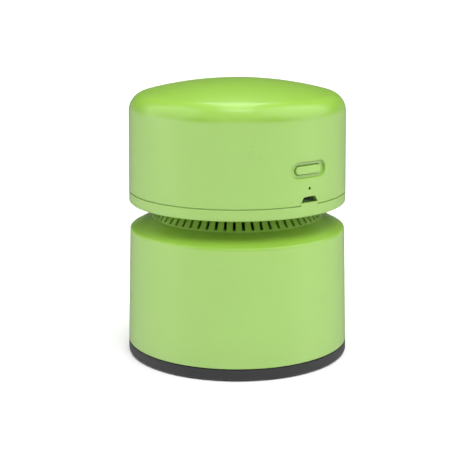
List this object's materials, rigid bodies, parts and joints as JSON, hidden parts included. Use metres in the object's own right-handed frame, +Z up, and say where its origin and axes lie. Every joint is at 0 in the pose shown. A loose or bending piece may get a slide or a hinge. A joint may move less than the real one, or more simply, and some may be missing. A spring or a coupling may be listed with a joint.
{
  "type": "desktop mini vacuum cleaner",
  "caption": "Round rechargeable desktop vacuum cleaner with a lift-off domed fan head, a slotted exhaust waist, a plug-in filter and a dust cup on a dark base ring.",
  "frame": {"origin": "on the table under the centre of the base, where the glide pads rest", "axes": "+Z up along the body's axis, -Y towards the front with the button and the charging port, +X to the right"},
  "size_m": [0.0882, 0.0882, 0.1092],
  "materials": {
    "shell_green": "smooth gloss moulding",
    "base_charcoal": "satin moulding",
    "inner_plastic": "satin moulding",
    "fan_white": "smooth moulding",
    "filter_plastic": "satin moulding",
    "filter_paper": "pleated filter paper",
    "bristle": "fine nylon bristles",
    "pad_rubber": "soft foam rubber",
    "seal_rubber": "smooth rubber",
    "screw_steel": "zinc plated",
    "motor_steel": "zinc plated",
    "motor_core": "stacked iron with lacquered windings",
    "brass": "plain",
    "cell_sleeve": "shrink sleeve over the metal case",
    "board_green": "solder-resist coated laminate",
    "chip_black": "moulded chips",
    "socket_steel": "nickel plated",
    "clear_plastic": "clear rod",
    "lead_black": "insulated wire"
  },
  "bodies": {
    "cup": {"dust_cup": "shell_green", "base_plate": "base_charcoal", "inlet_duct": "inner_plastic", "duct_screws": "screw_steel", "brush_backing": "inner_plastic", "brush_bristles": "bristle", "glide_pads": "pad_rubber", "base_screws": "screw_steel"},
    "head": {"head_shell": "shell_green", "head_base": "shell_green", "shell_screws": "screw_steel", "exhaust_grille": "shell_green", "fan_inlet_plate": "inner_plastic", "seal_ring": "seal_rubber", "fan_screws": "screw_steel", "motor_mount": "inner_plastic", "motor_can": "motor_steel", "motor_magnets": "motor_core", "motor_bushes": "brass", "motor_end_cap": "inner_plastic", "motor_terminals": "brass", "motor_screws": "screw_steel", "battery_cell": "cell_sleeve", "battery_cradle": "inner_plastic", "cradle_screws": "screw_steel", "control_board": "board_green", "usb_socket": "socket_steel", "usb_tongue": "chip_black", "tact_switch": "chip_black", "status_led": "fan_white", "light_pipe": "clear_plastic", "board_parts": "chip_black", "battery_leads": "lead_black", "motor_leads": "lead_black"},
    "rotor": {"motor_shaft": "motor_steel", "motor_armature": "motor_core", "motor_commutator": "brass", "impeller": "fan_white"},
    "button": {"power_button": "shell_green", "switch_plunger": "chip_black"},
    "filter": {"filter_frame": "filter_plastic", "filter_media": "filter_paper"}
  },
  "joints": [
    {"name": "head_lift", "type": "slide", "parent": "cup", "child": "head", "axis": [0, 0, 1], "range_m": [0, 0.035]},
    {"name": "impeller_spin", "type": "hinge", "parent": "head", "child": "rotor", "pos_m": [0, 0, 0.06], "axis": [0, 0, 1], "continuous": true},
    {"name": "power_button_press", "type": "slide", "parent": "head", "child": "button", "axis": [0, 1, 0], "range_m": [0, 0.0005], "stiffness_N_per_m": 2500, "springref_m": -0.0002},
    {"name": "filter_pull", "type": "slide", "parent": "head", "child": "filter", "axis": [0, 0, -1], "range_m": [0, 0.011]}
  ]
}
